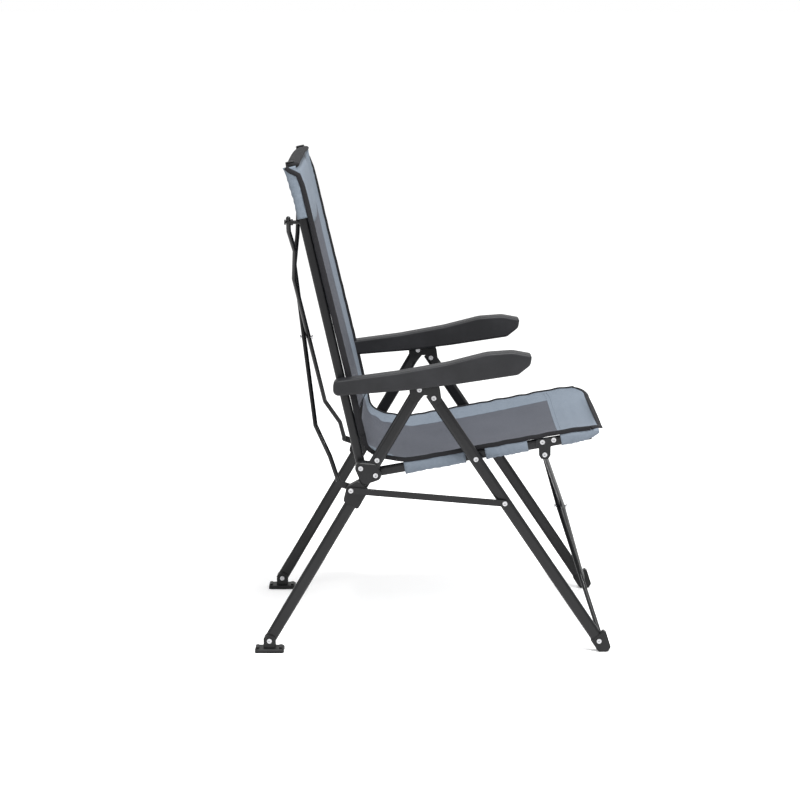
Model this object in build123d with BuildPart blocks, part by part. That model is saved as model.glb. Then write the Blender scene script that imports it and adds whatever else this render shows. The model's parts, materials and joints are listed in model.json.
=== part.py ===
"""Folding camp armchair with a reclining high back.

Frame: +X is the chair's front, +Y the sitter's left, +Z up, origin on the
floor under the middle of the footprint.  All lengths are millimetres.
Each side is a flat stack of layers: legs in the leg plane, seat rail and
back tube inside it, the flat brace outside it, the armrest above it.
The right side is drawn and the left side is its mirror.
"""

import math
import os

from build123d import *

os.makedirs("parts", exist_ok=True)

# ---------------------------------------------------------------- layers
LEG_Y = -250.0          # middle of the right leg plane
LEG_W, LEG_T = 26.0, 14.0       # flat-oval leg tube, wide and thin
WALL = 1.5              # tube wall
IN_Y = -224.0           # middle of the inner layer (seat rail, back tube)
RAIL_W, RAIL_T = 21.0, 12.0
BACK_W, BACK_T = 20.0, 12.0
BRACE_W, BRACE_T = 14.0, 3.5
HUB_OUT = LEG_Y - 11.0  # outer face of hub and sleeve
HUB_IN = IN_Y - RAIL_T / 2 - 0.3        # inner face of the hub
BRACE_Y = HUB_OUT - 0.3 - BRACE_T / 2   # middle of the flat brace
SLEEVE_IN = LEG_Y + 11.0
ARM_Y, ARM_WIDE = -250.5, 41.0

# ------------------------------------------------------- pivots (x, z)
REAR_FOOT = (-354.0, 24.6)
RACK_TOP = (-30.4, 578.0)       # rear leg rivet in the arm bracket
FRONT_PIVOT = (0.2, 559.7)      # front leg pivot in the arm bracket
FRONT_FOOT = (359.5, 24.4)
BACK_PIVOT = (-155.2, 407.3)    # back tube on the hub
RAIL_PIVOT = (-123.5, 392.0)    # seat rail on the hub
LEG_RAIL = (90.5, 426.5)        # seat rail on the front leg
SLEEVE_PIVOT = (-176.3, 359.5)  # brace on the sleeve
BRACE_FRONT = (152.6, 331.5)    # brace on the front leg
STOP = (-120.3, 424.3)          # stop rivet above the hub
ARM_PIVOT = (-188.0, 585.5)     # armrest on the back tube
ARM_PEG = (-12.0, 594.0)        # peg the armrest slides over
SEAT_CLIP = (233.0, 459.0)      # upper rivets of the seat bracket
SEAT_CLIP_2 = (257.0, 463.6)
FOOT_EYE = (364.5, 27.5)        # front cross bar's pin in the shoe
SEAT_EYE = (238.5, 431.5)       # cross bar eye of the seat bracket
BAR_TOP = (-306.3, 929.3)       # back cross bar at the stand-off
BAR_LOW = (-202.8, 368.3)       # back cross bar at the link
BACK_LEAN = 12.75               # degrees, back tube from upright
BACK_LONG = 662.0
RAIL_FRONT = (334.0, 473.4)
BAR_D = 10.0
RIVET_R, RIVET_HEAD, RIVET_TALL, HOLE_R = 3.0, 5.2, 1.8, 3.05
EYE_R, EYE_DEEP = 2.1, 3.2      # the hollow of a tubular rivet


def at(point, y):
    """A side-view point at a depth."""
    return (point[0], y, point[1])


def side(y):
    """Sketch plane seen from the right; extruding goes to the right."""
    return Plane(origin=(0, y, 0), x_dir=(1, 0, 0), z_dir=(0, -1, 0))


def along(a, b, shift):
    """The point `shift` past a on the way to b."""
    d = math.dist(a, b)
    return (a[0] + (b[0] - a[0]) * shift / d, a[1] + (b[1] - a[1]) * shift / d)


def tube_plane(a, b, y):
    """Plane across the line a to b, its x axis in the side view."""
    d = math.dist(a, b)
    ux, uz = (b[0] - a[0]) / d, (b[1] - a[1]) / d
    return Plane(origin=at(a, y), x_dir=(uz, 0, -ux), z_dir=(ux, 0, uz))


def flat_tube(a, b, y, wide, thick, wall=WALL):
    """Flat-oval tube from a to b."""
    long = math.dist(a, b)
    with BuildSketch(tube_plane(a, b, y)) as ring:
        SlotOverall(wide, thick)
        if wall:
            SlotOverall(wide - 2 * wall, thick - 2 * wall, mode=Mode.SUBTRACT)
    extrude(ring.sketch, amount=long)


def drill(point, radius=HOLE_R, y=-400.0, deep=400.0):
    """Cross hole along Y."""
    with BuildSketch(side(y + deep)) as hole:
        with Locations(point):
            Circle(radius)
    extrude(hole.sketch, amount=deep, mode=Mode.SUBTRACT)


def disc(point, radius, outer, inner):
    """Round solid along Y between two depths."""
    with BuildSketch(side(inner)) as round_face:
        with Locations(point):
            Circle(radius)
    extrude(round_face.sketch, amount=inner - outer)


def rivet(point, outer, inner, ring=True):
    """Tubular rivet: shank and a domed ring head on each end."""
    disc(point, RIVET_R, outer - RIVET_TALL, inner + RIVET_TALL)
    disc(point, RIVET_HEAD, outer - RIVET_TALL, outer)
    disc(point, RIVET_HEAD, inner, inner + RIVET_TALL)
    if ring:
        with BuildSketch(side(outer - RIVET_TALL + EYE_DEEP)) as eye:
            with Locations(point):
                Circle(EYE_R)
        extrude(eye.sketch, amount=EYE_DEEP, mode=Mode.SUBTRACT)


def stud(point, outer, inner):
    """Rivet whose head shows on the outer side only."""
    disc(point, RIVET_R, outer - RIVET_TALL, inner)
    disc(point, RIVET_HEAD, outer - RIVET_TALL, outer)
    with BuildSketch(side(outer - RIVET_TALL + EYE_DEEP)) as eye:
        with Locations(point):
            Circle(EYE_R)
    extrude(eye.sketch, amount=EYE_DEEP, mode=Mode.SUBTRACT)


LEG_OUT, LEG_IN = LEG_Y - LEG_T / 2, LEG_Y + LEG_T / 2
IN_OUT, IN_IN = IN_Y - RAIL_T / 2, IN_Y + RAIL_T / 2
CHEEK_OUT, CHEEK_IN = LEG_Y - 10.4, LEG_Y + 10.4
FOOT_IN = LEG_Y + 9.5           # inner face of the front foot

# ------------------------------------------------------------- leg frame
with BuildPart() as rear_leg_right:
    low = along(REAR_FOOT, RACK_TOP, -6)
    high = along(RACK_TOP, REAR_FOOT, -5)
    flat_tube(low, high, LEG_Y, LEG_W, LEG_T)
    drill(REAR_FOOT)
    drill(RACK_TOP)
    drill(STOP)
rear_leg_right.part.label = "rear_leg_right"

with BuildPart() as front_leg_right:
    low = along(FRONT_FOOT, FRONT_PIVOT, -7)
    high = along(FRONT_PIVOT, FRONT_FOOT, -10)
    flat_tube(low, high, LEG_Y, LEG_W, LEG_T)
    drill(FRONT_PIVOT)
    drill(LEG_RAIL)
    drill(BRACE_FRONT)
    drill(FRONT_FOOT)
front_leg_right.part.label = "front_leg_right"

# two cheeks over both legs, closed above them by a saddle
with BuildPart() as arm_bracket_right:
    with BuildSketch(side(CHEEK_IN)) as cheek:
        with BuildLine():
            Polyline(
                (-50, 556), (-34, 549), (-21, 566), (-12, 566), (3, 543),
                (17, 552), (14, 575), (6, 601), (-38, 597), (-52, 580),
                (-50, 556),
            )
        make_face()
        fillet(cheek.vertices(), 3.0)
    extrude(amount=CHEEK_IN - CHEEK_OUT)
    with BuildSketch(side(LEG_IN + 0.3)):
        with Locations((-18, 560)):
            Rectangle(100, 61)
    extrude(amount=LEG_T + 0.6, mode=Mode.SUBTRACT)
    drill(RACK_TOP)
    drill(FRONT_PIVOT)
arm_bracket_right.part.label = "arm_bracket_right"

# ------------------------------------------------------------- rear foot
with BuildPart() as rear_foot_right:
    with BuildSketch(Plane.XY) as sole:
        with Locations((-354.1, LEG_Y)):
            RectangleRounded(63, 40, 6)
    extrude(amount=8)
    chamfer(rear_foot_right.edges().group_by(Axis.Z)[-1], 1.6)
    with BuildSketch(side(LEG_Y + 11.0)) as ear:
        with Locations(REAR_FOOT):
            Circle(13)
        with Locations((REAR_FOOT[0], 14)):
            Rectangle(26, 20)
    extrude(amount=22)
    with BuildSketch(side(LEG_Y + LEG_T / 2 + 0.4)):
        with Locations((REAR_FOOT[0], 30)):
            Rectangle(60, 40.4)
    extrude(amount=LEG_T + 0.8, mode=Mode.SUBTRACT)
    drill(REAR_FOOT)
    with BuildSketch(Plane.XY.offset(8)):
        with Locations((-380.5, LEG_Y), (-330.0, LEG_Y)):
            RectangleRounded(7, 24, 2)
    extrude(amount=3.0)
rear_foot_right.part.label = "rear_foot_right"

with BuildPart() as front_foot_right:
    with BuildSketch(side(LEG_Y + 9.5)) as shoe:
        with BuildLine():
            Polyline(
                (342, 25), (369.5, 46.5), (375.5, 42), (385.6, 10.5),
                (380, 2), (374, 0), (360, 0), (355.5, 4), (342, 25),
            )
        make_face()
        fillet(shoe.vertices().sort_by(Axis.X)[-1:], 4)
    extrude(amount=19)
    chamfer(front_foot_right.faces().sort_by(Axis.Y)[0].edges(), 1.2)
    chamfer(front_foot_right.faces().sort_by(Axis.Y)[-1].edges(), 1.2)
    low = along(FRONT_FOOT, FRONT_PIVOT, -7)
    with BuildSketch(tube_plane(low, FRONT_PIVOT, LEG_Y)):
        SlotOverall(LEG_W + 0.02, LEG_T + 0.02)
    extrude(amount=80, mode=Mode.SUBTRACT)
    drill(FRONT_FOOT)
    drill(FOOT_EYE, RIVET_R + 0.05, FOOT_IN - 7.0, 8.0)
front_foot_right.part.label = "front_foot_right"

# ------------------------------------------------- hub, sleeve and brace
with BuildPart() as seat_hub_right:
    with BuildSketch(side(HUB_IN)):
        with Locations(BACK_PIVOT):
            Circle(12)
        with Locations(RAIL_PIVOT):
            Circle(12)
        with Locations((-146, 383)):
            Circle(11)
        with Locations((-129, 406)):
            Circle(11)
        make_hull()
    extrude(amount=HUB_IN - HUB_OUT)
    chamfer(seat_hub_right.faces().sort_by(Axis.Y)[0].edges(), 1.5)
    with BuildSketch(tube_plane(REAR_FOOT, RACK_TOP, LEG_Y)):
        SlotOverall(LEG_W + 0.6, LEG_T + 0.6)
    extrude(amount=640, mode=Mode.SUBTRACT)
    with BuildSketch(side(HUB_IN + 1)):
        with Locations(BACK_PIVOT, RAIL_PIVOT):
            Circle(HOLE_R)
    extrude(amount=12, mode=Mode.SUBTRACT)
    with BuildSketch(side(HUB_OUT + 2.5)):
        with Locations(BACK_PIVOT, RAIL_PIVOT):
            Circle(HOLE_R)
    extrude(amount=12, mode=Mode.SUBTRACT)
seat_hub_right.part.label = "seat_hub_right"

with BuildPart() as brace_sleeve_right:
    with BuildSketch(side(SLEEVE_IN)):
        with Locations(SLEEVE_PIVOT):
            Circle(10)
        with Locations((-160, 373), (-146, 357)):
            Circle(6)
        with Locations((-186, 338), (-164, 325)):
            Circle(6)
        make_hull()
    extrude(amount=SLEEVE_IN - HUB_OUT)
    chamfer(brace_sleeve_right.faces().sort_by(Axis.Y)[0].edges(), 1.5)
    with BuildSketch(tube_plane(REAR_FOOT, RACK_TOP, LEG_Y)):
        SlotOverall(LEG_W + 0.6, LEG_T + 0.6)
    extrude(amount=640, mode=Mode.SUBTRACT)
    with BuildSketch(side(HUB_OUT + 3.0)):
        with Locations(SLEEVE_PIVOT):
            Circle(HOLE_R)
    extrude(amount=8, mode=Mode.SUBTRACT)
    with BuildSketch(side(SLEEVE_IN + 1)):
        with Locations(SLEEVE_PIVOT):
            Circle(HOLE_R)
    extrude(amount=4.0, mode=Mode.SUBTRACT)
brace_sleeve_right.part.label = "brace_sleeve_right"

with BuildPart() as brace_link_right:
    d = math.dist(SLEEVE_PIVOT, BRACE_FRONT)
    tilt = math.degrees(
        math.atan2(BRACE_FRONT[1] - SLEEVE_PIVOT[1], BRACE_FRONT[0] - SLEEVE_PIVOT[0])
    )
    mid = (
        (SLEEVE_PIVOT[0] + BRACE_FRONT[0]) / 2,
        (SLEEVE_PIVOT[1] + BRACE_FRONT[1]) / 2,
    )
    with BuildSketch(side(BRACE_Y + BRACE_T / 2)):
        with Locations(Location((mid[0], mid[1]), tilt)):
            SlotCenterToCenter(d, BRACE_W)
    extrude(amount=BRACE_T)
    drill(SLEEVE_PIVOT)
    drill(BRACE_FRONT)
brace_link_right.part.label = "brace_link_right"

# ------------------------------------------------------------- seat rail
with BuildPart() as seat_rail_right:
    flat_tube(along(RAIL_PIVOT, RAIL_FRONT, -8), RAIL_FRONT, IN_Y, RAIL_W, RAIL_T)
    drill(RAIL_PIVOT)
    drill(LEG_RAIL)
    drill(SEAT_CLIP)
    drill(SEAT_CLIP_2)
seat_rail_right.part.label = "seat_rail_right"

with BuildPart() as rail_plugs_right:
    d = math.dist(RAIL_PIVOT, RAIL_FRONT)
    front = RAIL_FRONT
    with BuildSketch(tube_plane(front, along(front, RAIL_PIVOT, -10), IN_Y)):
        SlotOverall(RAIL_W, RAIL_T)
    extrude(amount=4)
    chamfer(rail_plugs_right.faces().sort_by(Axis.X)[-1].edges(), 1.5)
rail_plugs_right.part.label = "rail_plugs_right"

# bracket on the rail's outer face that carries a front cross bar's upper end
CLIP_T = 2.5
with BuildPart() as seat_bracket_right:
    with BuildSketch(side(IN_OUT)) as plate:
        with BuildLine():
            Polyline(
                (218, 447), (220, 463.5), (264, 471), (266, 456), (251, 449),
                (251, 430), (246, 422), (231, 422), (226, 430), (225.5, 446),
                (218, 447),
            )
        make_face()
        fillet(plate.vertices(), 2.5)
    extrude(amount=CLIP_T)
    drill(SEAT_CLIP)
    drill(SEAT_CLIP_2)
    drill(SEAT_EYE)
seat_bracket_right.part.label = "seat_bracket_right"

with BuildPart() as clip_rivet_right:
    for point in (SEAT_CLIP, SEAT_CLIP_2):
        stud(point, IN_OUT - CLIP_T, IN_OUT)
        disc(point, RIVET_R, IN_OUT, IN_IN + RIVET_TALL)
        disc(point, RIVET_HEAD, IN_IN, IN_IN + RIVET_TALL)
    stud(SEAT_EYE, IN_OUT - CLIP_T, IN_OUT + 4.0)
clip_rivet_right.part.label = "clip_rivet_right"

# ------------------------------------------------------------- back tube
lean = math.radians(BACK_LEAN)
BACK_TOP = (
    BACK_PIVOT[0] - BACK_LONG * math.sin(lean),
    BACK_PIVOT[1] + BACK_LONG * math.cos(lean),
)
STUB = (-274.0, 929.3)

with BuildPart() as back_tube_right:
    flat_tube(along(BACK_PIVOT, BACK_TOP, -8), BACK_TOP, IN_Y, BACK_W, BACK_T)
    drill(BACK_PIVOT)
    drill(ARM_PIVOT)
back_tube_right.part.label = "back_tube_right"

with BuildPart() as back_plug_right:
    with BuildSketch(tube_plane(BACK_TOP, along(BACK_TOP, BACK_PIVOT, -10), IN_Y)):
        SlotOverall(BACK_W, BACK_T)
    extrude(amount=4)
    chamfer(back_plug_right.faces().sort_by(Axis.Z)[-1].edges(), 1.5)
back_plug_right.part.label = "back_plug_right"

# stand-off pin and its cap, pointing rearward
with BuildPart() as back_stub_right:
    for near, far, radius in (
        (STUB[0] - 4.0, BAR_TOP[0] + 6.0, 4.0),
        (BAR_TOP[0] + 10.0, BAR_TOP[0] + 5.3, 6.5),
        (BAR_TOP[0] + 6.0, BAR_TOP[0] - 6.0, 2.5),
        (BAR_TOP[0] - 5.3, BAR_TOP[0] - 8.3, 5.5),
    ):
        start = Plane(origin=at((near, STUB[1]), IN_Y), x_dir=(0, 1, 0), z_dir=(-1, 0, 0))
        with BuildSketch(start):
            Circle(radius)
        extrude(amount=near - far)
    with BuildSketch(tube_plane(BACK_PIVOT, BACK_TOP, IN_Y)):
        SlotOverall(BACK_W, BACK_T)
    extrude(amount=BACK_LONG, mode=Mode.SUBTRACT)
back_stub_right.part.label = "back_stub_right"

# ------------------------------------------------------------- armrest
with BuildPart() as armrest_right:
    with BuildSketch(side(ARM_Y + ARM_WIDE / 2)) as body:
        with BuildLine():
            Polyline(
                (-213, 597), (-73, 616), (30, 635), (112, 656), (166, 660),
                (207, 652.5), (204, 632), (178, 611), (48, 591), (-54, 578),
                (-213, 565), (-213, 598),
            )
        make_face()
        fillet(body.vertices().filter_by(lambda v: -80 < v.X < 120), 90)
        fillet(body.vertices().filter_by(lambda v: 150 < v.X < 180 and v.Y > 640), 60)
        fillet(body.vertices().filter_by(lambda v: 150 < v.X < 206 and v.Y < 640), 16)
        fillet(body.vertices().sort_by(Axis.X)[-1:], 6)
        fillet(body.vertices().filter_by(lambda v: v.X < -210), 12)
    extrude(amount=ARM_WIDE)
    rims = armrest_right.faces().filter_by(Axis.Y).edges()
    fillet(rims, 5.0)
    # channel the bracket runs in, open below
    with BuildSketch(side(LEG_Y + 12.8)) as channel:
        with BuildLine():
            Polyline(
                (-64, 540), (-64, 588), (-40, 601.5), (30, 612.5), (130, 626),
                (150, 622), (150, 560), (-64, 540),
            )
        make_face()
    extrude(amount=25.6, mode=Mode.SUBTRACT)
    with BuildSketch(side(IN_OUT)):
        with Locations(ARM_PIVOT):
            Circle(HOLE_R)
    extrude(amount=18, mode=Mode.SUBTRACT)
armrest_right.part.label = "armrest_right"

# ------------------------------------------------------------- cross bars
# Each pair crosses at the middle, one bar behind the other, on one rivet.
BAR_R = BAR_D / 2
APART = BAR_R + 0.3             # each bar's offset at the crossing
FRONT_CROSS = (291.0, 262.0)


def rod(points, bend):
    """Round bar through the points, bends rounded, ends rounded."""
    with BuildLine() as path:
        FilletPolyline(*points, radius=bend)
    with BuildSketch(Plane(origin=path.line @ 0, z_dir=path.line % 0)) as face:
        Circle(BAR_R)
    sweep(face.sketch, path=path.line)
    with Locations(points[0], points[-1]):
        Sphere(BAR_R)


def y_pin(point, start, end, radius, mode=Mode.ADD):
    """Round pin, or hole, along Y."""
    sign = 1 if end > start else -1
    face_plane = Plane(origin=at(point, start), x_dir=(1, 0, 0), z_dir=(0, sign, 0))
    with BuildSketch(face_plane) as face:
        Circle(radius)
    extrude(face.sketch, amount=abs(end - start), mode=mode)


def x_pin(point, start, end, radius, mode=Mode.ADD):
    """Round pin along X at a side-view height, in the middle plane."""
    face_plane = Plane(origin=(start, 0, point[1]), x_dir=(0, 1, 0), z_dir=(1, 0, 0))
    with BuildSketch(face_plane) as face:
        Circle(radius)
    extrude(face.sketch, amount=end - start, mode=mode)


def straight(a, b):
    """Straight round bar with a ball at each end."""
    run = Vector(*b) - Vector(*a)
    with BuildSketch(Plane(origin=a, z_dir=run.normalized())) as face:
        Circle(BAR_R)
    extrude(face.sketch, amount=run.length)
    with Locations(a, b):
        Sphere(BAR_R)


def front_bar(foot_side):
    """Front bar from the foot on one side to the seat bracket on the other."""
    x = FRONT_CROSS[0] + foot_side * APART
    foot_y, eye_y = foot_side * (-FOOT_IN - 7.0), -foot_side * (-IN_OUT - 7.0)
    middle = (x, 0, FRONT_CROSS[1])
    straight(at(FOOT_EYE, foot_y), middle)
    straight(middle, at(SEAT_EYE, eye_y))
    y_pin(FOOT_EYE, foot_y, foot_side * -FOOT_IN, 4.5)
    y_pin(FOOT_EYE, foot_y, foot_side * (-FOOT_IN + 2.2), RIVET_R)
    y_pin(SEAT_EYE, eye_y, -foot_side * -IN_OUT, 4.5)
    y_pin(SEAT_EYE, -foot_side * (-IN_OUT - 4.1), -foot_side * -IN_OUT, HOLE_R, Mode.SUBTRACT)
    x_pin(FRONT_CROSS, x - 12, x + 12, 2.55, Mode.SUBTRACT)


with BuildPart() as front_cross_bar_a:
    front_bar(-1)
front_cross_bar_a.part.label = "front_cross_bar_a"

with BuildPart() as front_cross_bar_b:
    front_bar(1)
front_cross_bar_b.part.label = "front_cross_bar_b"

with BuildPart() as front_cross_rivet:
    x_pin(FRONT_CROSS, FRONT_CROSS[0] - 13, FRONT_CROSS[0] + 13, 2.5)
    x_pin(FRONT_CROSS, FRONT_CROSS[0] - 14.2, FRONT_CROSS[0] - 12.2, 4.5)
    x_pin(FRONT_CROSS, FRONT_CROSS[0] + 12.2, FRONT_CROSS[0] + 14.2, 4.5)
front_cross_rivet.part.label = "front_cross_rivet"

# side view of a back bar, from the stand-off down to the link
BACK_PROFILE = (
    (BAR_TOP[0], 937.0), (BAR_TOP[0], 908.0), (-301.0, 862.0), (-306.0, 795.0),
    (-280.5, 648.8), (-250.5, 476.0), (-217.5, 417.0), BAR_LOW,
)
BACK_CROSS = BACK_PROFILE[4]


def back_bar(top_side):
    """Back bar from the stand-off on one side to the link on the other."""
    points = []
    for number, (x, z) in enumerate(BACK_PROFILE):
        part_way = 2 * (z - BAR_LOW[1]) / (BAR_TOP[1] - BAR_LOW[1]) - 1
        part_way = 1.0 if number == 0 else min(1.0, part_way)
        shift = 0 if number in (0, 1, 7) else -top_side * APART
        points.append((x + shift, top_side * -IN_Y * part_way, z))
    rod(points, 14)
    low_y = -top_side * -IN_Y
    y_pin(BAR_LOW, low_y, -top_side * (-IN_Y + BAR_R + 0.9), 4.5)
    x_pin(BACK_CROSS, BACK_CROSS[0] - 30, BACK_CROSS[0] + 30, 2.55, Mode.SUBTRACT)
    eye = Plane(origin=at((BAR_TOP[0] - 20, BAR_TOP[1]), top_side * -IN_Y), x_dir=(0, 1, 0), z_dir=(1, 0, 0))
    with BuildSketch(eye) as face:
        Circle(3.1)
    extrude(face.sketch, amount=40, mode=Mode.SUBTRACT)


with BuildPart() as back_cross_bar_a:
    back_bar(-1)
back_cross_bar_a.part.label = "back_cross_bar_a"

with BuildPart() as back_cross_bar_b:
    back_bar(1)
back_cross_bar_b.part.label = "back_cross_bar_b"

with BuildPart() as back_cross_rivet:
    x_pin(BACK_CROSS, BACK_CROSS[0] - 13, BACK_CROSS[0] + 13, 2.5)
    x_pin(BACK_CROSS, BACK_CROSS[0] - 14.2, BACK_CROSS[0] - 12.2, 4.5)
    x_pin(BACK_CROSS, BACK_CROSS[0] + 12.2, BACK_CROSS[0] + 14.2, 4.5)
back_cross_rivet.part.label = "back_cross_rivet"

# link from the sleeve to the lower end of a back cross bar
LINK_OUT = IN_Y - BAR_D / 2 - 4.2
with BuildPart() as link_right:
    d = math.dist(SLEEVE_PIVOT, BAR_LOW)
    tilt = math.degrees(
        math.atan2(BAR_LOW[1] - SLEEVE_PIVOT[1], BAR_LOW[0] - SLEEVE_PIVOT[0])
    )
    mid = (
        (SLEEVE_PIVOT[0] + BAR_LOW[0]) / 2,
        (SLEEVE_PIVOT[1] + BAR_LOW[1]) / 2,
    )
    with BuildSketch(side(LINK_OUT + 3.0)):
        with Locations(Location((mid[0], mid[1]), tilt)):
            SlotCenterToCenter(d, 14)
    extrude(amount=3.0)
    drill(SLEEVE_PIVOT)
link_right.part.label = "link_right"

# ------------------------------------------------------------- rivets
# one node holds the alike fasteners of one body on one side
with BuildPart() as leg_rivets_right:
    rivet(RACK_TOP, CHEEK_OUT, CHEEK_IN)
    rivet(FRONT_PIVOT, CHEEK_OUT, CHEEK_IN)
    rivet(STOP, LEG_OUT, LEG_IN)
    rivet(REAR_FOOT, LEG_Y - 11.0, LEG_Y + 11.0)
leg_rivets_right.part.label = "leg_rivets_right"

with BuildPart() as front_leg_rivets_right:
    rivet(LEG_RAIL, LEG_OUT, IN_IN)
    disc(LEG_RAIL, 6.5, LEG_IN, IN_OUT)
    rivet(BRACE_FRONT, BRACE_Y - BRACE_T / 2, LEG_IN)
    disc(BRACE_FRONT, 6.0, BRACE_Y + BRACE_T / 2, LEG_OUT)
    stud(FRONT_FOOT, LEG_Y - 9.5, LEG_Y)
front_leg_rivets_right.part.label = "front_leg_rivets_right"

with BuildPart() as hub_pins_right:
    for point in (BACK_PIVOT, RAIL_PIVOT):
        disc(point, RIVET_R, HUB_IN - 10.0, IN_IN + RIVET_TALL)
        disc(point, RIVET_HEAD, IN_IN, IN_IN + RIVET_TALL)
        stud(point, HUB_OUT, HUB_OUT + 2.4)
hub_pins_right.part.label = "hub_pins_right"

with BuildPart() as sleeve_rivet_right:
    stud(SLEEVE_PIVOT, BRACE_Y - BRACE_T / 2, HUB_OUT + 2.9)
sleeve_rivet_right.part.label = "sleeve_rivet_right"

with BuildPart() as link_pin_right:
    disc(SLEEVE_PIVOT, RIVET_R, SLEEVE_IN - 2.9, LINK_OUT + 3.0 + RIVET_TALL)
    disc(SLEEVE_PIVOT, RIVET_HEAD, LINK_OUT + 3.0, LINK_OUT + 3.0 + RIVET_TALL)
    disc(SLEEVE_PIVOT, 5.0, SLEEVE_IN, LINK_OUT)
link_pin_right.part.label = "link_pin_right"

with BuildPart() as arm_pin_right:
    disc(ARM_PIVOT, RIVET_R, IN_OUT - 15.0, IN_IN + RIVET_TALL)
    disc(ARM_PIVOT, RIVET_HEAD, IN_IN, IN_IN + RIVET_TALL)
arm_pin_right.part.label = "arm_pin_right"

# ------------------------------------------------------------- fabric
# The sling lies on the front faces of the back tubes and on the rails.
SLING_HALF = -IN_Y + 4.0
CLOTH = 3.0
RAIL_SLOPE = (RAIL_FRONT[1] - RAIL_PIVOT[1]) / (RAIL_FRONT[0] - RAIL_PIVOT[0])


def back_point(t, forward):
    """Side-view point t up the back tube line and `forward` of it."""
    return (
        BACK_PIVOT[0] - t * math.sin(lean) + forward * math.cos(lean),
        BACK_PIVOT[1] + t * math.cos(lean) + forward * math.sin(lean),
    )


with BuildPart() as back_fabric:
    face = [back_point(t, 14.0 + bow) for t, bow in (
        (656, 1), (560, 0), (430, 1), (300, 2), (190, 2), (110, 1), (64, 0),
    )]
    with BuildSketch(side(SLING_HALF)) as back_strip:
        with BuildLine():
            back = [(x - CLOTH * math.cos(lean), z - CLOTH * math.sin(lean)) for x, z in face]
            Polyline(*face, *reversed(back), face[0])
        make_face()
    extrude(amount=2 * SLING_HALF)
back_fabric.part.label = "back_fabric"

with BuildPart() as seat_fabric:
    face = [(-147, 470), (-139, 452), (-122, 435), (-95, 424.5), (-58, 421.5)]
    face += [
        (x, RAIL_PIVOT[1] + (x - RAIL_PIVOT[0]) * RAIL_SLOPE + RAIL_W / 2 + 7.0)
        for x in (-10, 60, 150, 240, 300)
    ] + [(338, 492.4), (355, 488.2)]
    under = [(-150.3, 468.5), (-141.6, 450.3), (-123.5, 432.3), (-95.8, 421.6), (-58, 418.5)]
    under += [(x, z - 3.05) for x, z in face[5:10]] + [(337.4, 489.4), (354, 485.3)]
    with BuildSketch(side(SLING_HALF)) as seat_strip:
        with BuildLine():
            Polyline(*face, *reversed(under), face[0])
        make_face()
    extrude(amount=2 * SLING_HALF)
seat_fabric.part.label = "seat_fabric"

# cloth tunnels the rails run through, with bare rail between them
with BuildPart() as seat_tunnels_right:
    spans = ((62.0, 195.0), (238.0, 330.0), (402.0, 467.0))
    for start, end in spans:
        a = along(RAIL_PIVOT, RAIL_FRONT, start)
        b = along(RAIL_PIVOT, RAIL_FRONT, end)
        with BuildSketch(tube_plane(a, b, IN_Y)) as tunnel:
            SlotOverall(RAIL_W + 5.0, RAIL_T + 4.0)
            SlotOverall(RAIL_W + 1.0, RAIL_T + 1.0, mode=Mode.SUBTRACT)
        extrude(amount=end - start)
seat_tunnels_right.part.label = "seat_tunnels_right"

# pocket around the upper back tube, from the stand-off to the top
with BuildPart() as back_pocket_right:
    a = along(BACK_PIVOT, BACK_TOP, 551)
    b = along(BACK_TOP, BACK_PIVOT, -5)
    with BuildSketch(tube_plane(a, b, IN_Y)) as pocket:
        SlotOverall(BACK_W + 2.0, BACK_T + 4.0)
        SlotOverall(BACK_W + 0.6, BACK_T + 0.6, mode=Mode.SUBTRACT)
    extrude(amount=math.dist(a, b))
back_pocket_right.part.label = "back_pocket_right"

with BuildPart() as headrest:
    with BuildSketch(
        Plane(
            origin=(back_point(560, 24.0)[0], 0, back_point(560, 24.0)[1]),
            x_dir=(0, 1, 0),
            z_dir=(math.cos(lean), 0, math.sin(lean)),
        )
    ):
        RectangleRounded(300, 150, 40)
    extrude(amount=-8.0)
    front_face = headrest.faces().sort_by(Axis((0, 0, 0), (math.cos(lean), 0, math.sin(lean))))[-1]
    chamfer(front_face.edges(), 3.0)
headrest.part.label = "headrest"

MIRRORED = [
    "rear_leg", "front_leg", "arm_bracket", "rear_foot", "front_foot",
    "seat_hub", "brace_sleeve", "brace_link", "seat_rail", "rail_plugs",
    "seat_bracket", "clip_rivet", "back_tube", "back_plug", "back_stub",
    "armrest", "link", "leg_rivets", "front_leg_rivets", "hub_pins",
    "sleeve_rivet", "link_pin", "arm_pin", "seat_tunnels", "back_pocket",
]
nodes = {
    node.part.label: node.part
    for node in list(globals().values())
    if isinstance(node, BuildPart) and node.part and node.part.label
}
for stem in MIRRORED:
    with BuildPart() as left:
        add(mirror(nodes[stem + "_right"], about=Plane.XZ))
    left.part.label = stem + "_left"
    nodes[left.part.label] = left.part
for label, shape in nodes.items():
    shape.label = label
    export_step(shape, f"parts/{label}.step")
print(len(nodes), "nodes")
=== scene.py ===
# %% [markdown]
# A folding camp armchair with a tall reclining back.  The frame, the joints
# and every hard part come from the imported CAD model.  This lesson dresses
# them: cloth sling, sewn bindings and sleeves, powder-coated tube, moulded
# plastic and plated rivets.
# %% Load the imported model
import json
import math

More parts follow.
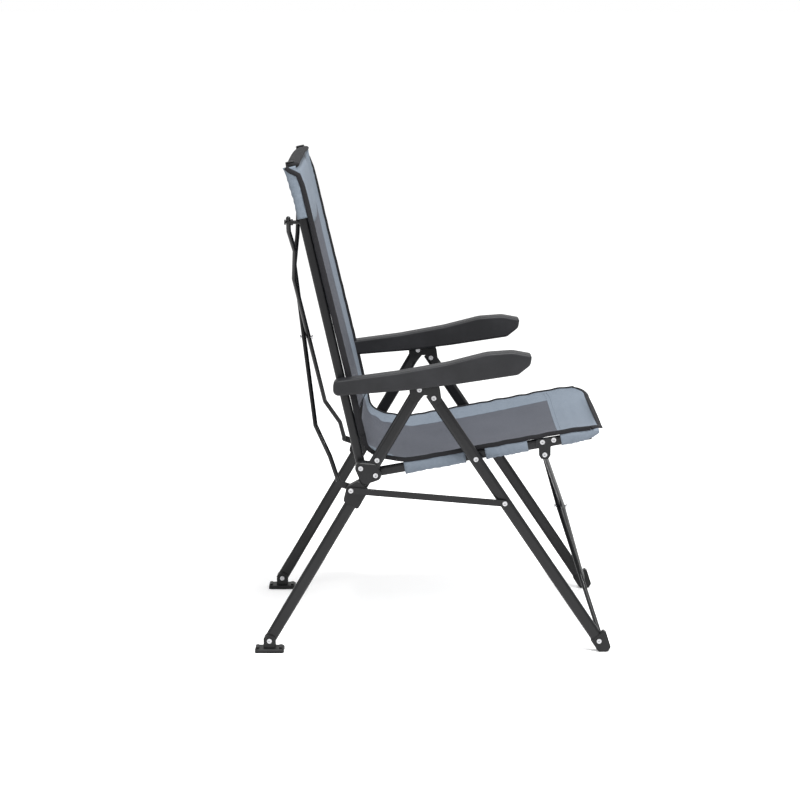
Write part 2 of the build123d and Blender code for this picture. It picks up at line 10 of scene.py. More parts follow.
import bmesh
import bpy
import numpy as np
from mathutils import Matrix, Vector


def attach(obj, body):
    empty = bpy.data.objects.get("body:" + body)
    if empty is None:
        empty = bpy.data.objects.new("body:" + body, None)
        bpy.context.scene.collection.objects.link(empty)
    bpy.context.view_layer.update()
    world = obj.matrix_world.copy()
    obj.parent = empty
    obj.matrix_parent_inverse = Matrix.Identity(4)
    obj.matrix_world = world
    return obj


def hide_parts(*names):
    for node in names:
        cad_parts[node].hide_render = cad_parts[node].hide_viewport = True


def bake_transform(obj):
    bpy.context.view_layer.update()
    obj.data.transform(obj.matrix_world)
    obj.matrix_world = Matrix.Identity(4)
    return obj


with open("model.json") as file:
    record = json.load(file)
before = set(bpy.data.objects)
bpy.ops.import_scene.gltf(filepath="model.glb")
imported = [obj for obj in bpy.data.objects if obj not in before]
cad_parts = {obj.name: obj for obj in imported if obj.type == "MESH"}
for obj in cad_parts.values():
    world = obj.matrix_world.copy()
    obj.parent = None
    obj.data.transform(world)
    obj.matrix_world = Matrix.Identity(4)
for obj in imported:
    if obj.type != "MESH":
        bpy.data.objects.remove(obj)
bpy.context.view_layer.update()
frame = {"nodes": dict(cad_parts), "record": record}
BODIES = frame["record"]["behaviour"]["bodies"]


def body_with(node):
    """The body that a CAD node belongs to."""
    return next(name for name, nodes in BODIES.items() if node in nodes)


# %% [markdown]
# Shader maths reads best as sums.  One small class wraps a socket, so that
# ordinary operators add Math nodes.
# %% Shader maths


class Sock:
    """A socket in a material's node tree, with arithmetic."""

    def __init__(self, tree, socket):
        self.tree, self.socket = tree, socket

    def node(self, kind, settings=None, inputs=None, output=0):
        """Add a node of a kind, with its settings and then its inputs."""
        made = self.tree.nodes.new(kind)
        for key, value in (settings or {}).items():
            if key == "ramp":
                while len(made.color_ramp.elements) < len(value):
                    made.color_ramp.elements.new(0.5)
                for element, (place, colour) in zip(made.color_ramp.elements, value):
                    element.position, element.color = place, colour
            else:
                setattr(made, key, value)
        for key, value in (inputs or {}).items():
            target = made.inputs[key]
            if isinstance(value, Sock):
                self.tree.links.new(value.socket, target)
            else:
                target.default_value = value
        return Sock(self.tree, made.outputs[output])

    def _math(self, operation, a, b=0.0, clamp=False):
        return self.node(
            "ShaderNodeMath", {"operation": operation, "use_clamp": clamp}, {0: a, 1: b}
        )

    def __add__(self, other):
        return self._math("ADD", self, other)

    __radd__ = __add__

    def __sub__(self, other):
        return self._math("SUBTRACT", self, other)

    def __rsub__(self, other):
        return self._math("SUBTRACT", other, self)

    def __mul__(self, other):
        return self._math("MULTIPLY", self, other)

    __rmul__ = __mul__

    def __truediv__(self, other):
        return self._math("DIVIDE", self, other)

    def __pow__(self, other):
        return self._math("POWER", self, other)

    def sin(self):
        return self._math("SINE", self)

    def abs(self):
        return self._math("ABSOLUTE", self)

    def above(self, edge):
        return self._math("GREATER_THAN", self, edge)

    def step(self, low, high):
        """0 below low, 1 above high, smooth between."""
        return self.node(
            "ShaderNodeMapRange",
            {"interpolation_type": "SMOOTHSTEP"},
            {0: self, 1: low, 2: high, 3: 0.0, 4: 1.0},
        )

    def mix(self, low, high):
        """A colour from low to high, by this value."""
        return self.node(
            "ShaderNodeMix",
            {"data_type": "RGBA", "clamp_factor": True},
            {0: self, 6: low, 7: high},
            output=2,
        )


def start_material(name):
    """A material with a Principled shader, and its object coordinates."""
    made = bpy.data.materials.new(name)
    made.use_nodes = True
    tree = made.node_tree
    shader = tree.nodes["Principled BSDF"]
    place = Sock(tree, tree.nodes.new("ShaderNodeTexCoord").outputs["Object"])
    return made, shader, place


def noise(place, scale, detail=3.0, rough=0.55):
    """Soft cloudy noise, scale in waves per metre."""
    return place.node(
        "ShaderNodeTexNoise",
        {},
        {"Vector": place, "Scale": scale, "Detail": detail, "Roughness": rough},
        output=0,
    )


def feed(shader, name, value):
    """Link or set one of the shader's inputs."""
    if isinstance(value, Sock):
        value.tree.links.new(value.socket, shader.inputs[name])
    else:
        shader.inputs[name].default_value = value


def bump(height, shader, strength, distance=0.001):
    """Fine relief on a finish, distance in metres."""
    made = height.node(
        "ShaderNodeBump", {}, {"Strength": strength, "Distance": distance, "Height": height}
    )
    feed(shader, "Normal", made)


# %% [markdown]
# The tubes are powder coated: nearly black, satin, with a fine orange-peel
# skin that breaks up the highlight, and slightly duller where hands and
# ground rub it.
# %% Powder-coated tube
def powder_coat(name, colour, rough):
    """Powder-coated tube: a fine orange-peel skin, slightly patchy."""
    made, shader, place = start_material(name)
    skin = noise(place, 900.0, 2.0)
    patch = noise(place, 9.0, 4.0)
    shade = patch.step(0.3, 0.75).mix(
        (*[c * 0.8 for c in colour], 1), (*[c * 1.35 for c in colour], 1)
    )
    feed(shader, "Base Color", shade)
    feed(shader, "Roughness", rough + patch * 0.10 + skin * 0.05)
    feed(shader, "Specular IOR Level", 0.15)
    feed(shader, "Coat Weight", 0.16)
    feed(shader, "Coat Roughness", 0.10)
    bump(skin, shader, 0.10, 0.0004)
    return made


black_tube = powder_coat("powder_coated_tube", (0.0045, 0.0046, 0.0052), 0.30)
black_link = powder_coat("powder_coated_bar", (0.0040, 0.0041, 0.0046), 0.36)
print("made", black_tube.name, black_link.name)

# %% [markdown]
# The brackets, hubs and feet are moulded nylon.  It is matte, a little
# lighter than the tube, and its grain is finer than a millimetre.
# %% Moulded plastic
def moulded(name, colour, rough, grain):
    """Moulded plastic with a fine grain and a little wear."""
    made, shader, place = start_material(name)
    fine = noise(place, grain, 2.0, 0.6)
    wear = noise(place, 14.0, 5.0, 0.6)
    shade = wear.step(0.35, 0.8).mix(
        (*[c * 0.85 for c in colour], 1), (*[c * 1.4 for c in colour], 1)
    )
    feed(shader, "Base Color", shade)
    feed(shader, "Specular IOR Level", 0.22)
    feed(shader, "Roughness", rough + fine * 0.12)
    bump(fine + wear * 0.3, shader, 0.22, 0.0006)
    return made


black_nylon = moulded("moulded_nylon", (0.0050, 0.0051, 0.0056), 0.42, 700.0)
arm_plastic = moulded("armrest_plastic", (0.0085, 0.0087, 0.0100), 0.46, 520.0)
print("made", black_nylon.name, arm_plastic.name)

# %% [markdown]
# The rivets are plated steel, bright on the rolled rim, dark in the eye.
# %% Plated rivets
def plated():
    """Plated steel of the rivets, lightly scratched."""
    made, shader, place = start_material("plated_rivet")
    scratch = noise(place, 420.0, 3.0)
    feed(shader, "Base Color", scratch.step(0.3, 0.8).mix((0.30, 0.30, 0.31, 1), (0.52, 0.52, 0.53, 1)))
    feed(shader, "Metallic", 1.0)
    feed(shader, "Roughness", 0.22 + scratch * 0.18)
    bump(scratch, shader, 0.08, 0.0003)
    return made


rivet_steel = plated()
print("made", rivet_steel.name)

# %% [markdown]
# The cloth is polyester.  Its threads run along the sheet's own UV map, which
# is in metres, so the weave keeps its size and follows every fold.  The blue
# cloth is a close plain weave.  The grey centre is a coated mesh: heavier
# cords with small dark gaps between them.
# %% Woven cloth and mesh
def threads(tree_place, per_metre):
    """Waves along and across the cloth, from its UV map in metres."""
    uv = tree_place.node("ShaderNodeUVMap", {"uv_map": "cloth"})
    parts = uv.tree.nodes.new("ShaderNodeSeparateXYZ")
    uv.tree.links.new(uv.socket, parts.inputs[0])
    across = Sock(uv.tree, parts.outputs[0]) * (per_metre * math.pi)
    along = Sock(uv.tree, parts.outputs[1]) * (per_metre * math.pi)
    return across, along


def woven(name, dark, light, per_metre, rough, depth, gaps=0.0):
    """Woven cloth in two tones; gaps is how much of each opening stays dark."""
    made, shader, place = start_material(name)
    across, along = threads(place, per_metre)
    warp, weft = across.sin().abs(), along.sin().abs()
    over = ((across * 0.5).sin() * (along * 0.5).sin()).above(0.0)
    height = over * warp + (1 - over) * weft
    cloud = noise(place, 7.0, 4.0)
    slub = noise(place, 160.0, 3.0)
    tone = height * 0.45 + cloud * 0.35 + slub * 0.30
    shade = tone.step(0.15, 0.95).mix((*dark, 1), (*light, 1))
    if gaps:
        hole = (1 - warp).step(1 - gaps, 1.0) * (1 - weft).step(1 - gaps, 1.0)
        shade = hole.mix(shade, (0.004, 0.004, 0.005, 1))
        height = height - hole * 0.6
    feed(shader, "Base Color", shade)
    feed(shader, "Roughness", rough + slub * 0.1)
    shader.inputs["Specular IOR Level"].default_value = 0.2
    bump(height + slub * 0.3, shader, depth, 0.0006)
    return made


blue_cloth = woven("blue_polyester", (0.062, 0.078, 0.098), (0.135, 0.158, 0.188), 900.0, 0.72, 0.35)
grey_mesh = woven("grey_mesh", (0.026, 0.029, 0.036), (0.066, 0.070, 0.084), 420.0, 0.66, 0.55, 0.35)
black_tape = woven("black_binding", (0.003, 0.003, 0.0035), (0.009, 0.009, 0.011), 1100.0, 0.75, 0.45)
print("made", blue_cloth.name, grey_mesh.name, black_tape.name)

# %% [markdown]
# Each hard CAD node takes one of these finishes.
# %% Dress the CAD nodes
FINISH = {
    "rear_leg": black_tube, "front_leg": black_tube, "seat_rail": black_tube,
    "back_tube": black_tube, "brace_link": black_link, "link": black_link,
    "seat_bracket": black_link, "front_cross_bar": black_tube,
    "back_cross_bar": black_tube, "back_stub": black_tube,
    "armrest": arm_plastic,
}


def finish_for(node):
    """Rivets and pins are plated, listed stems have their finish, the rest is nylon."""
    if "rivet" in node or "pin" in node:
        return rivet_steel
    for stem, finish in FINISH.items():
        if node.startswith(stem):
            return finish
    return black_nylon


for node, piece in frame["nodes"].items():
    piece.data.materials.clear()
    piece.data.materials.append(finish_for(node))
    for polygon in piece.data.polygons:
        polygon.material_index = 0
print("dressed", len(frame["nodes"]), "nodes")

# %% [markdown]
# The sling hangs between the two back tubes and the two seat rails.  Its line
# seen from the side is read off those tubes, so it starts with the back
# tube's and the rail's ends.
# %% The tubes the sling hangs on
def tube_line(node):
    """Lower and upper ends of a slanting tube's middle line, seen from the side."""
    mesh = frame["nodes"][node].data
    co = np.array([v.co for v in mesh.vertices])
    middle = co.mean(axis=0)
    direction = np.linalg.svd(co - middle, full_matrices=False)[2][0]
    direction = direction * (1 if direction[2] > 0 else -1)
    reach = (co - middle) @ direction
    return middle + direction * reach.min(), middle + direction * reach.max(), direction


back_low, back_high, back_dir = tube_line("back_tube_right")
rail_rear, rail_front, rail_dir = tube_line("seat_rail_right")
INNER = abs(back_low[1])
back_out = np.array([back_dir[2], 0, -back_dir[0]])
rail_up = np.array([-rail_dir[2], 0, rail_dir[0]])
print("back tube", back_low, back_high, "rail", rail_rear, rail_front)


def on_back(up, forward):
    """Point `up` metres below the back tube's top, `forward` of its middle."""
    p = back_high - back_dir * up + back_out * forward
    return (p[0], p[2])


def on_rail(back, above):
    """Point `back` metres behind the rail's front end, above its middle."""
    p = rail_front - rail_dir * back + rail_up * above
    return (p[0], p[2])


# %% [markdown]
# A side view is a list of points.  A smooth curve through them, divided into
# equal steps, gives the rows of the cloth.
# %% A smooth side-view curve
def smooth_line(points, count):
    """Equal steps along a smooth curve through the points."""
    pts = [np.array(p, float) for p in points]
    pts = [2 * pts[0] - pts[1]] + pts + [2 * pts[-1] - pts[-2]]
    dense = []
    for a, b, c, d in zip(pts, pts[1:], pts[2:], pts[3:]):
        for t in np.linspace(0, 1, 24, endpoint=False):
            dense.append(0.5 * (2 * b + (c - a) * t + (2 * a - 5 * b + 4 * c - d) * t * t
                                + (3 * b - a - 3 * c + d) * t ** 3))
    dense.append(pts[-2])
    dense = np.array(dense)
    length = np.concatenate([[0], np.cumsum(np.linalg.norm(np.diff(dense, axis=0), axis=1))])
    steps = np.linspace(0, length[-1], count)
    return np.stack([np.interp(steps, length, dense[:, k]) for k in range(2)], 1), length[-1]


back_profile, back_length = smooth_line(
    [on_back(0.003, 0.010), on_back(0.06, 0.013), on_back(0.2, 0.0135), on_back(0.36, 0.015),
     on_back(0.48, 0.016), on_back(0.550, 0.0155), on_back(0.597, 0.015)], 70)
seat_profile, seat_length = smooth_line(
    [(back_profile[-1][0] + 0.002, back_profile[-1][1] + 0.004), (-0.142, 0.449), (-0.118, 0.432),
     (-0.085, 0.424), (-0.050, 0.4225), on_rail(0.34, 0.0165), on_rail(0.25, 0.0165), on_rail(0.14, 0.0165),
     on_rail(0.03, 0.0165), (0.347, 0.4900), (0.3635, 0.4845)], 70)
print("back cloth", round(back_length, 3), "seat cloth", round(seat_length, 3))

# %% [markdown]
# The cloth is a grid: rows along the side view and columns across the chair.
# The middle is let down a little, as a laced sling is after some use, and the
# sides stay up on the tubes.  A short cloth simulation with the sides pinned
# then finds the soft folds.
# %% Build a sling grid
SIDE = INNER + 0.006
COLUMNS = 57


def hollow(share):
    """How far down the trough is: 0 at the sides, 1 over the middle."""
    edge = np.clip((1 - np.abs(share)) / 0.34, 0, 1)
    return edge * edge * (3 - 2 * edge)


def corner(share, radius):
    """How far a rounded corner pulls the free edge in, in metres."""
    return radius * np.clip((abs(share) - 0.78) / 0.22, 0, 1) ** 2 + 0.12 * radius * share * share


def at_share(table, t):
    """A row of the table at a share of its length, between rows too."""
    k = np.clip(t, 0, 1) * (len(table) - 1)
    low = min(int(k), len(table) - 2)
    return table[low] + (table[low + 1] - table[low]) * (k - low)


def sling(name, profile, depth, length, front=0.0, top=0.0):
    """A grid between the tubes; depth gives each row's drop, in metres.

    front and top are the corner radii of the last and the first row.
    """
    rows = len(profile)
    tangent = np.gradient(profile, axis=0)
    tangent /= np.linalg.norm(tangent, axis=1)[:, None]
    normal = np.stack([tangent[:, 1], -tangent[:, 0]], 1)
    share = np.linspace(-1, 1, COLUMNS)
    verts, uvs = [], []
    run = 0.0
    for i in range(rows):
        run += 0 if i == 0 else float(np.linalg.norm(profile[i] - profile[i - 1]))
        for s in share:
            t = i / (rows - 1)
            t = t * (1 - corner(s, front) / length * t ** 3)
            t = 1 - (1 - t) * (1 - corner(s, top) / length * (1 - t) ** 3)
            place, lean = at_share(profile, t), at_share(normal, t)
            x, z = place + lean * depth(t) * hollow(s)
            verts.append((x, s * SIDE, z))
            uvs.append((s * SIDE, run))
    faces = [
        (i * COLUMNS + j, i * COLUMNS + j + 1, (i + 1) * COLUMNS + j + 1, (i + 1) * COLUMNS + j)
        for i in range(rows - 1) for j in range(COLUMNS - 1)
    ]
    mesh = bpy.data.meshes.new(name)
    mesh.from_pydata(verts, [], faces)
    layer = mesh.uv_layers.new(name="cloth")
    for loop in mesh.loops:
        layer.data[loop.index].uv = uvs[loop.vertex_index]
    piece = bpy.data.objects.new(name, mesh)
    bpy.context.collection.objects.link(piece)
    return piece


def only(piece):
    """Select one piece alone and make it active."""
    bpy.ops.object.select_all(action="DESELECT")
    piece.select_set(True)
    bpy.context.view_layer.objects.active = piece


def settle(piece, pinned, frames=16, gravity=0.5):
    """Let the cloth sag between its pinned points, then keep that shape."""
    group = piece.vertex_groups.new(name="pin")
    group.add(pinned, 1.0, "ADD")
    cloth = piece.modifiers.new("cloth", "CLOTH")
    cloth.settings.quality = 6
    cloth.settings.mass = 0.25
    cloth.settings.tension_stiffness = 60
    cloth.settings.compression_stiffness = 40
    cloth.settings.shear_stiffness = 20
    cloth.settings.bending_stiffness = 2.0
    cloth.settings.vertex_group_mass = "pin"
    cloth.settings.effector_weights.gravity = gravity
    cloth.collision_settings.use_self_collision = False
    cloth.point_cache.frame_start, cloth.point_cache.frame_end = 1, frames
    scene = bpy.context.scene
    for number in range(1, frames + 1):
        scene.frame_set(number)
    only(piece)
    bpy.ops.object.modifier_apply(modifier="cloth")
    scene.frame_set(1)
    piece.vertex_groups.clear()


def edge_columns(rows, depth=2):
    """Vertices along both long sides of a sling, depth columns deep."""
    return [i * COLUMNS + j for i in range(rows) for j in (*range(depth), *range(COLUMNS - depth, COLUMNS))]


def ripple(piece, amount, seed):
    """Small uneven waves near the sewn sides, where the tape gathers the cloth."""
    mesh = piece.data
    rng = np.random.default_rng(seed)
    waves = [(rng.uniform(9, 34), rng.uniform(0, 6.3), rng.uniform(0.3, 1)) for _ in range(7)]
    co = np.array([v.co for v in mesh.vertices])
    uv = np.array([(v.co.x, v.co.z) for v in mesh.vertices])
    run = np.concatenate([[0], np.cumsum(np.linalg.norm(np.diff(uv[::COLUMNS], axis=0), axis=1))])
    rows = np.repeat(run, COLUMNS)
    share = np.abs(co[:, 1]) / SIDE
    wave = sum(a * np.sin(f * 6.283 * rows + p) for f, p, a in waves) / 3
    side = np.where(co[:, 1] > 0, 1, -1)
    strength = amount * np.exp(-((share - 0.97) / 0.07) ** 2)
    drop = wave * strength * (1 + 0.3 * side)
    for vertex, d in zip(mesh.vertices, drop):
        vertex.co.z += float(d)


back_sling = sling(
    "back_sling", back_profile,
    lambda t: 0.002 + 0.009 * math.sin(math.pi * min(1, t * 0.9 + 0.08)), back_length, top=0.014)
seat_sling = sling(
    "seat_sling", seat_profile,
    lambda t: 0.004 + 0.014 * math.sin(math.pi * min(1, t * 0.95 + 0.05)), seat_length, front=0.026)
rows = len(back_profile)
across = list(range(COLUMNS))
settle(back_sling, edge_columns(rows) + across)
front_row = [(rows - 1) * COLUMNS + j for j in range(COLUMNS)]
settle(seat_sling, edge_columns(rows) + across + front_row, gravity=1.0)
ripple(seat_sling, 0.0011, 3)
ripple(back_sling, 0.0013, 5)
print("sling pieces", len(back_sling.data.vertices), len(seat_sling.data.vertices))

# %% [markdown]
# Each sling is sewn from three cloths: blue side bands, a grey mesh middle
# and, on the seat, a blue front panel.  The faces take their cloth by place.
# %% Sew the panels
BAND = 0.735          # share of the half width where the mesh ends


def cloths(piece, blue_row):
    """Blue beside the tubes and where blue_row says so, mesh elsewhere."""
    mesh = piece.data
    mesh.materials.append(grey_mesh)
    mesh.materials.append(blue_cloth)
    for polygon in mesh.polygons:
        row, column = divmod(polygon.index, COLUMNS - 1)
        share = abs((column + 0.5) / (COLUMNS - 1) * 2 - 1)
        t = row / (rows - 1)
        polygon.material_index = 1 if share > BAND or blue_row(t, share) else 0
        polygon.use_smooth = True


cloths(back_sling, lambda t, share: False)
cloths(seat_sling, lambda t, share: t > 0.815)


def thicken(piece, thickness):
    """Give the cloth its two faces and soft edges."""
    only(piece)
    solid = piece.modifiers.new("cloth_thickness", "SOLIDIFY")
    solid.thickness, solid.offset = thickness, 0.0
    bpy.ops.object.modifier_apply(modifier="cloth_thickness")


# %% [markdown]
# Black tape is folded over every open edge.  It is a flat oval tube swept
# along the rim of the cloth.
# %% Sweep a tape along a line
def cloth_piece(name, verts, faces, uvs, material):
    """A smooth mesh piece of one cloth, with its map in metres."""
    mesh = bpy.data.meshes.new(name)
    mesh.from_pydata(verts, [], faces)
    layer = mesh.uv_layers.new(name="cloth")
    for loop in mesh.loops:
        layer.data[loop.index].uv = uvs[loop.vertex_index]
    mesh.materials.append(material)
    for polygon in mesh.polygons:
        polygon.use_smooth = True
    piece = bpy.data.objects.new(name, mesh)
    bpy.context.collection.objects.link(piece)
    fix_normals(piece)
    return piece


def tape(name, points, wide, thick, up_hint, closed=False):
    """A flat oval band along 3-D points; up_hint gives each point's flat side."""
    pts = [Vector(p) for p in points]
    around = 10
    verts, faces, uvs = [], [], []
    run = 0.0
    for k, p in enumerate(pts):
        before, after = pts[max(0, k - 1)], pts[min(len(pts) - 1, k + 1)]
        forward = (after - before).normalized()
        up = Vector(up_hint[k] if isinstance(up_hint, list) else up_hint)
        side = forward.cross(up).normalized()
        up = side.cross(forward).normalized()
        run += 0 if k == 0 else (p - pts[k - 1]).length
        for a in range(around):
            angle = 2 * math.pi * a / around
            c, s = math.cos(angle), math.sin(angle)
            c = math.copysign(abs(c) ** 0.7, c)
            breadth = wide[k] if isinstance(wide, list) else wide
            verts.append(p + side * (breadth / 2 * c) + up * (thick / 2 * s))
            uvs.append((a / around * (breadth * 2.2), run))
    n = len(pts)
    for k in range(n - 1):
        for a in range(around):
            b = (a + 1) % around
            faces.append((k * around + a, k * around + b, (k + 1) * around + b, (k + 1) * around + a))
    faces.append(tuple(range(around - 1, -1, -1)))
    faces.append(tuple((n - 1) * around + a for a in range(around)))
    return cloth_piece(name, verts, faces, uvs, black_tape)


def fix_normals(piece):
    """Point every face outwards."""
    shape = bmesh.new()
    shape.from_mesh(piece.data)
    bmesh.ops.recalc_face_normals(shape, faces=shape.faces)
    shape.to_mesh(piece.data)
    shape.free()


def rim(piece, column, from_row=0):
    """Points down one column of a sling."""
    co = [v.co.copy() for v in piece.data.vertices]
    return [co[i * COLUMNS + column] for i in range(from_row, rows)]


def cross_rim(piece, row):
    """Points along one row of a sling."""
    co = [v.co.copy() for v in piece.data.vertices]
    return [co[row * COLUMNS + j] for j in range(COLUMNS)]


bindings = []
for side, column, sign in (("right", 0, -1), ("left", COLUMNS - 1, 1)):
    line = rim(back_sling, column, from_row=4)
    turned = [on_back(0.006, -0.013), on_back(0.013, -0.008), on_back(0.020, 0.000), on_back(0.027, 0.009)]
    line = [Vector((x, line[0].y, z)) for x, z in turned] + line
    line = [p + Vector((0, sign * 0.0035, 0)) for p in line]
    wide = [0.0105 + 0.0045 * k / len(line) for k in range(len(line))]
    made = tape(f"back_binding_{side}", line, wide, 0.0045, (0, 1, 0))
    bindings.append((made, "back"))
    line = rim(seat_sling, column)
    line = [p + Vector((0, sign * 0.0015, -0.001)) for p in line]
    made = tape(f"seat_binding_{side}", line, 0.0100, 0.0045, (0, 1, 0))
    bindings.append((made, "seat"))
front_line = cross_rim(seat_sling, rows - 1)
front_binding = tape("seat_binding_front", front_line, 0.0125, 0.0045, (0.4, 0, 1))
bindings.append((front_binding, "seat"))
print("bindings", [b.name for b, _ in bindings])

back_grid = np.array([v.co for v in back_sling.data.vertices]).reshape(rows, COLUMNS, 3)
seat_grid = np.array([v.co for v in seat_sling.data.vertices]).reshape(rows, COLUMNS, 3)

# %% [markdown]
# Where two cloths meet they are lapped, and a stitched seam shows as a low
# ridge.
# %% Stitched seams
SEAM_ROW = math.ceil(0.815 * (rows - 1))
SEAM_COLUMN = round((1 - BAND) / 2 * (COLUMNS - 1))
seams = []
for label, grid, last in (("seat", seat_grid, SEAM_ROW), ("back", back_grid, rows - 1)):
    for side, column in (("right", SEAM_COLUMN), ("left", COLUMNS - 1 - SEAM_COLUMN)):
        line = [Vector(grid[i, column]) for i in range(1, last + 1)]
        seams.append((tape(f"{label}_seam_{side}", line, 0.0032, 0.0030, (0, 1, 0)), label))
for number, row in enumerate((SEAM_ROW, SEAM_ROW + 1)):
    line = [Vector(grid_row) for grid_row in seat_grid[row]][2:-2]
    seams.append((tape(f"seat_seam_front_{number + 1}", line, 0.0030, 0.0030, (0, 0, 1)), "seat"))
for piece, label in seams:
    piece.data.materials.clear()
    piece.data.materials.append(blue_cloth)
bindings += seams
print("seams", len(seams))

thicken(back_sling, 0.0016)
thicken(seat_sling, 0.0016)

# %% [markdown]
# The top of the back is a wide black band folded over the cloth, and behind
# it the cloth wraps each tube down to the stand-off as a sleeve.
# %% Top band and back sleeves
top_line = [
    Vector((on_back(0.0, 0.003)[0], share * (SIDE + 0.003), on_back(0.0, 0.003)[1] - 0.006 * share ** 2))
    for share in np.linspace(-1, 1, 41)
]
top_band = tape("back_top_band", top_line, 0.029, 0.012, tuple(back_dir))
bindings.append((top_band, "back"))


def sleeve(name, low, high, wide, thick, seed, count=30, around=22, nose=0.0, flare=0.0):
    """Cloth tube around a straight flat-oval tube, loose by a millimetre or two."""
    rng = np.random.default_rng(seed)
    low, high = Vector(low), Vector(high)
    forward = (high - low).normalized()
    across = Vector((0, 1, 0))
    other = forward.cross(across).normalized()
    verts, uvs = [], []
    length = (high - low).length
    phase = rng.uniform(0, 6.3, 4)
    for k in range(count):
        t = k / (count - 1)
        for a in range(around):
            angle = 2 * math.pi * a / around
            c, s = math.cos(angle), math.sin(angle)
            loose = 1 + 0.05 * math.sin(7 * t * 6.28 + 2 * angle + phase[0]) * math.sin(math.pi * t) \
                + 0.04 * math.sin(3 * angle + 11 * t + phase[1])
            mouth = 1 + 0.06 * (math.exp(-t * 26) + math.exp(-(1 - t) * 26))
            taper = 1 - nose * max(0.0, (t - 0.45) / 0.55) ** 2
            x = math.copysign(abs(c) ** 0.8, c) * wide / 2 * loose * mouth * taper
            y = math.copysign(abs(s) ** 0.8, s) * thick / 2 * loose * mouth * (1 - 0.3 * (1 - taper))
            rise = (1 - taper) * wide * 0.15
            x = x + rise + flare * t ** 3 * max(0.0, c)
            verts.append(low + forward * (length * t) + other * x + across * y)
            uvs.append((a / around * (wide + thick) * 1.6, length * t))
    faces = [
        (k * around + a, k * around + (a + 1) % around,
         (k + 1) * around + (a + 1) % around, (k + 1) * around + a)
        for k in range(count - 1) for a in range(around)
    ]
    piece = cloth_piece(name, verts, faces, uvs, blue_cloth)
    thicken(piece, 0.0012)
    return piece, (2 * (wide + thick) * 0.86, length)


SLEEVE_END, SLEEVE_START = 0.118, 0.007     # below the back tube's top
for side, sign in (("right", -1), ("left", 1)):
    low = back_high - back_dir * SLEEVE_END
    high = back_high - back_dir * SLEEVE_START
    low[1] = high[1] = sign * INNER
    piece, flat = sleeve(f"back_sleeve_{side}", low, high, 0.0262, 0.0185, 11 + sign, flare=0.006)
    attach(piece, body_with("back_tube_" + side))
    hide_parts("back_pocket_" + side)
print("back sleeves", round(SLEEVE_END - SLEEVE_START, 3), "m long")

# %% [markdown]
# Three cloth tunnels hold each long side of the seat to its rail, with bare
# rail between them.
# %% Seat tunnels
# Start and end along the rail from its front end, in metres, and how far the
# tunnel narrows towards its end.
TUNNELS = [(-0.4022, -0.2692, 0.0), (-0.2262, -0.1342, 0.0), (-0.0622, 0.0215, 0.70)]
for side, sign in (("right", -1), ("left", 1)):
    made = []
    for number, (start, end, nose) in enumerate(TUNNELS):
        low, high = rail_front + rail_dir * start, rail_front + rail_dir * end
        low[1] = high[1] = sign * INNER
        piece, flat = sleeve(f"seat_tunnel_{side}_{number + 1}", low, high, 0.0275, 0.0185,
                             21 + number + sign, count=24, nose=nose)
        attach(piece, body_with("seat_rail_" + side))
        made.append(piece)
    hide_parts("seat_tunnels_" + side)
print("tunnels on each rail", len(TUNNELS))

# %% [markdown]
# The headrest is a thin padded panel sewn to the front of the back, with
# rounded lower corners.
# %% Headrest panel
def on_grid(grid, t, share):
    """A point of the sling's own surface, between its vertices too."""
    row, column = t * (len(grid) - 1), (share + 1) / 2 * (COLUMNS - 1)
    i, j = min(int(row), len(grid) - 2), min(int(column), COLUMNS - 2)
    u, v = row - i, column - j
    return (grid[i, j] * (1 - u) * (1 - v) + grid[i + 1, j] * u * (1 - v)
            + grid[i, j + 1] * (1 - u) * v + grid[i + 1, j + 1] * u * v)


def head_panel(grid):
    """A padded panel on the sling, 30 cm wide, with rounded lower corners."""
    wide, tall, thick = 0.30, 0.145, 0.010
    count_u, count_v = 33, 21
    verts, uvs = [], []
    for face_sign in (1, -1):
        for i in range(count_v):
            for j in range(count_u):
                u, v = j / (count_u - 1) * 2 - 1, i / (count_v - 1) * 2 - 1
                limit = 1 - (0.20 if v > 0 else 0.03) * abs(v) ** 5
                puff = (1 - abs(u) ** 3.5) * (1 - abs(v) ** 3.5)
                share = u * limit * wide / 2 / SIDE
                t = (0.012 + (v + 1) / 2 * tall) / back_length
                out = 0.0012 + (thick * puff ** 0.55 if face_sign > 0 else 0.0)
                verts.append(Vector(on_grid(grid, t, share)) + Vector(back_out) * out)
                uvs.append((share * SIDE, t * back_length))
    n = count_u * count_v
    faces = []
    for i in range(count_v - 1):
        for j in range(count_u - 1):
            a = i * count_u + j
            faces.append((a, a + 1, a + count_u + 1, a + count_u))
            faces.append((n + a, n + a + count_u, n + a + count_u + 1, n + a + 1))
    ring = list(range(count_u)) + [i * count_u + count_u - 1 for i in range(1, count_v)]
    ring += [(count_v - 1) * count_u + j for j in range(count_u - 2, -1, -1)]
    ring += [i * count_u for i in range(count_v - 2, 0, -1)]
    for a, b in zip(ring, ring[1:] + ring[:1]):
        faces.append((a, n + a, n + b, b))
    return cloth_piece("headrest_panel", verts, faces, uvs, blue_cloth)


headrest = head_panel(back_grid)
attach(headrest, body_with("headrest"))
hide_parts("headrest")

# %% [markdown]
# The back cloth is held to the seat at its foot.  It stays where it was made,
# with its side tapes and seams, on no body; the seat cloth and its tapes hang
# on the seat's body, and the top band on the back tube's.
# %% Hang the cloth on its bodies
body_with("seat_fabric")
body_with("back_tube_right")
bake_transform(back_sling)
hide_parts("back_fabric")
2 * SIDE + 0.01
[piece.name for piece, label in bindings if label == "back"]
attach(seat_sling, body_with("seat_fabric"))
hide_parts("seat_fabric")
2 * SIDE + 0.01
[piece.name for piece, label in bindings if label == "seat"]
for piece, label in bindings:
    if label == "back" and piece is not top_band:
        body_with("seat_fabric")
        body_with("back_tube_right")
        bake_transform(piece)
    else:
        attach(piece, body_with("seat_fabric" if label == "seat" else "back_tube_right"))

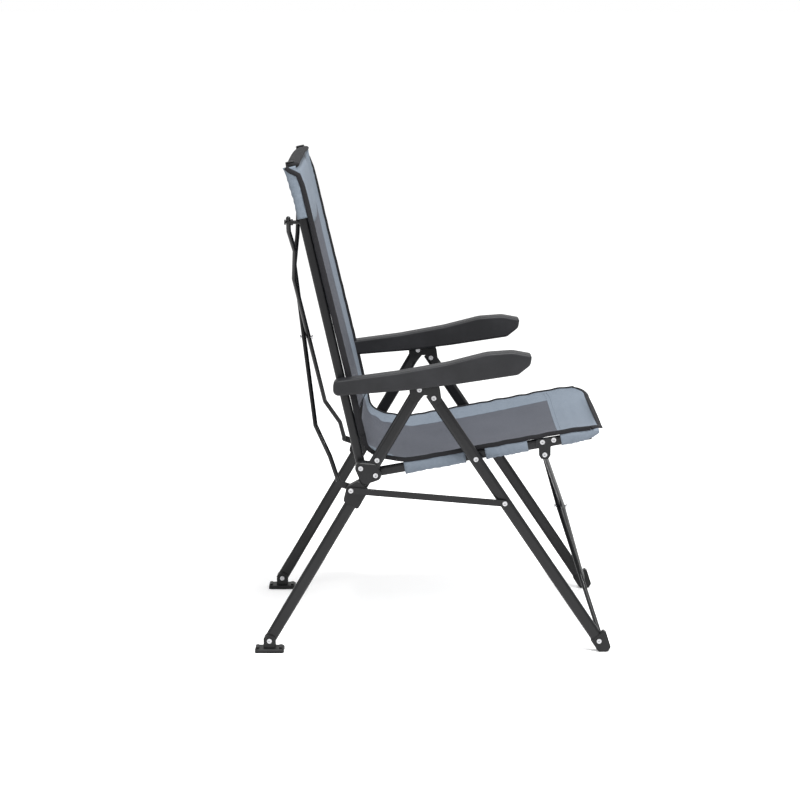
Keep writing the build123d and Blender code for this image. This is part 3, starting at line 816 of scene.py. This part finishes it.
# %% [markdown]
# A plain pale floor, soft light from large panels and a long lens from the
# chair's right-hand side.
# %% Floor, light and camera
bpy.ops.object.select_all(action="DESELECT")
bpy.ops.mesh.primitive_plane_add(size=120, location=(0, 40.0, -0.0005))
floor = bpy.context.active_object
floor.name = "floor"
floor_paint, floor_shader, _ = start_material("floor_paint")
floor_shader.inputs["Base Color"].default_value = (0.93, 0.93, 0.93, 1)
floor_shader.inputs["Roughness"].default_value = 0.9
floor_shader.inputs["Emission Color"].default_value = (1, 1, 1, 1)
floor_shader.inputs["Emission Strength"].default_value = 0.10
floor.data.materials.append(floor_paint)

world = bpy.data.worlds.new("studio")
bpy.context.scene.world = world
world.use_nodes = True
world.node_tree.nodes["Background"].inputs[0].default_value = (1, 1, 1, 1)
world.node_tree.nodes["Background"].inputs[1].default_value = 1.0


def soft_panel(name, place, aim, wide, power):
    """A rectangular area light that faces a point."""
    light = bpy.data.lights.new(name, "AREA")
    light.shape, light.size, light.size_y, light.energy = "RECTANGLE", wide, wide * 0.7, power
    made = bpy.data.objects.new(name, light)
    bpy.context.collection.objects.link(made)
    made.location = place
    made.rotation_euler = (Vector(aim) - Vector(place)).to_track_quat("-Z", "Y").to_euler()


soft_panel("key_panel", (1.6, -2.2, 2.6), (0, 0, 0.5), 1.2, 60)
soft_panel("fill_panel", (-2.4, -1.8, 1.8), (0, 0, 0.5), 1.6, 24)
soft_panel("top_panel", (0.3, -0.9, 3.4), (0, 0, 0.4), 0.7, 150)

LENS = 96.75            # millimetres, on a 36 mm wide sensor
CAMERA_PLACE = (-0.0632, -4.728, 1.4245)
CAMERA_DOWN, CAMERA_LEFT = 11.0, 0.105      # degrees below level, degrees of turn
camera_data = bpy.data.cameras.new("camera")
camera = bpy.data.objects.new("camera", camera_data)
bpy.context.collection.objects.link(camera)
camera_data.sensor_width = 36.0
camera_data.lens = LENS
camera.location = CAMERA_PLACE
camera.rotation_euler = (math.radians(90 - CAMERA_DOWN), 0, math.radians(CAMERA_LEFT))
camera_data.clip_end = 200
bpy.context.scene.camera = camera
bpy.context.scene.view_settings.view_transform = "Standard"
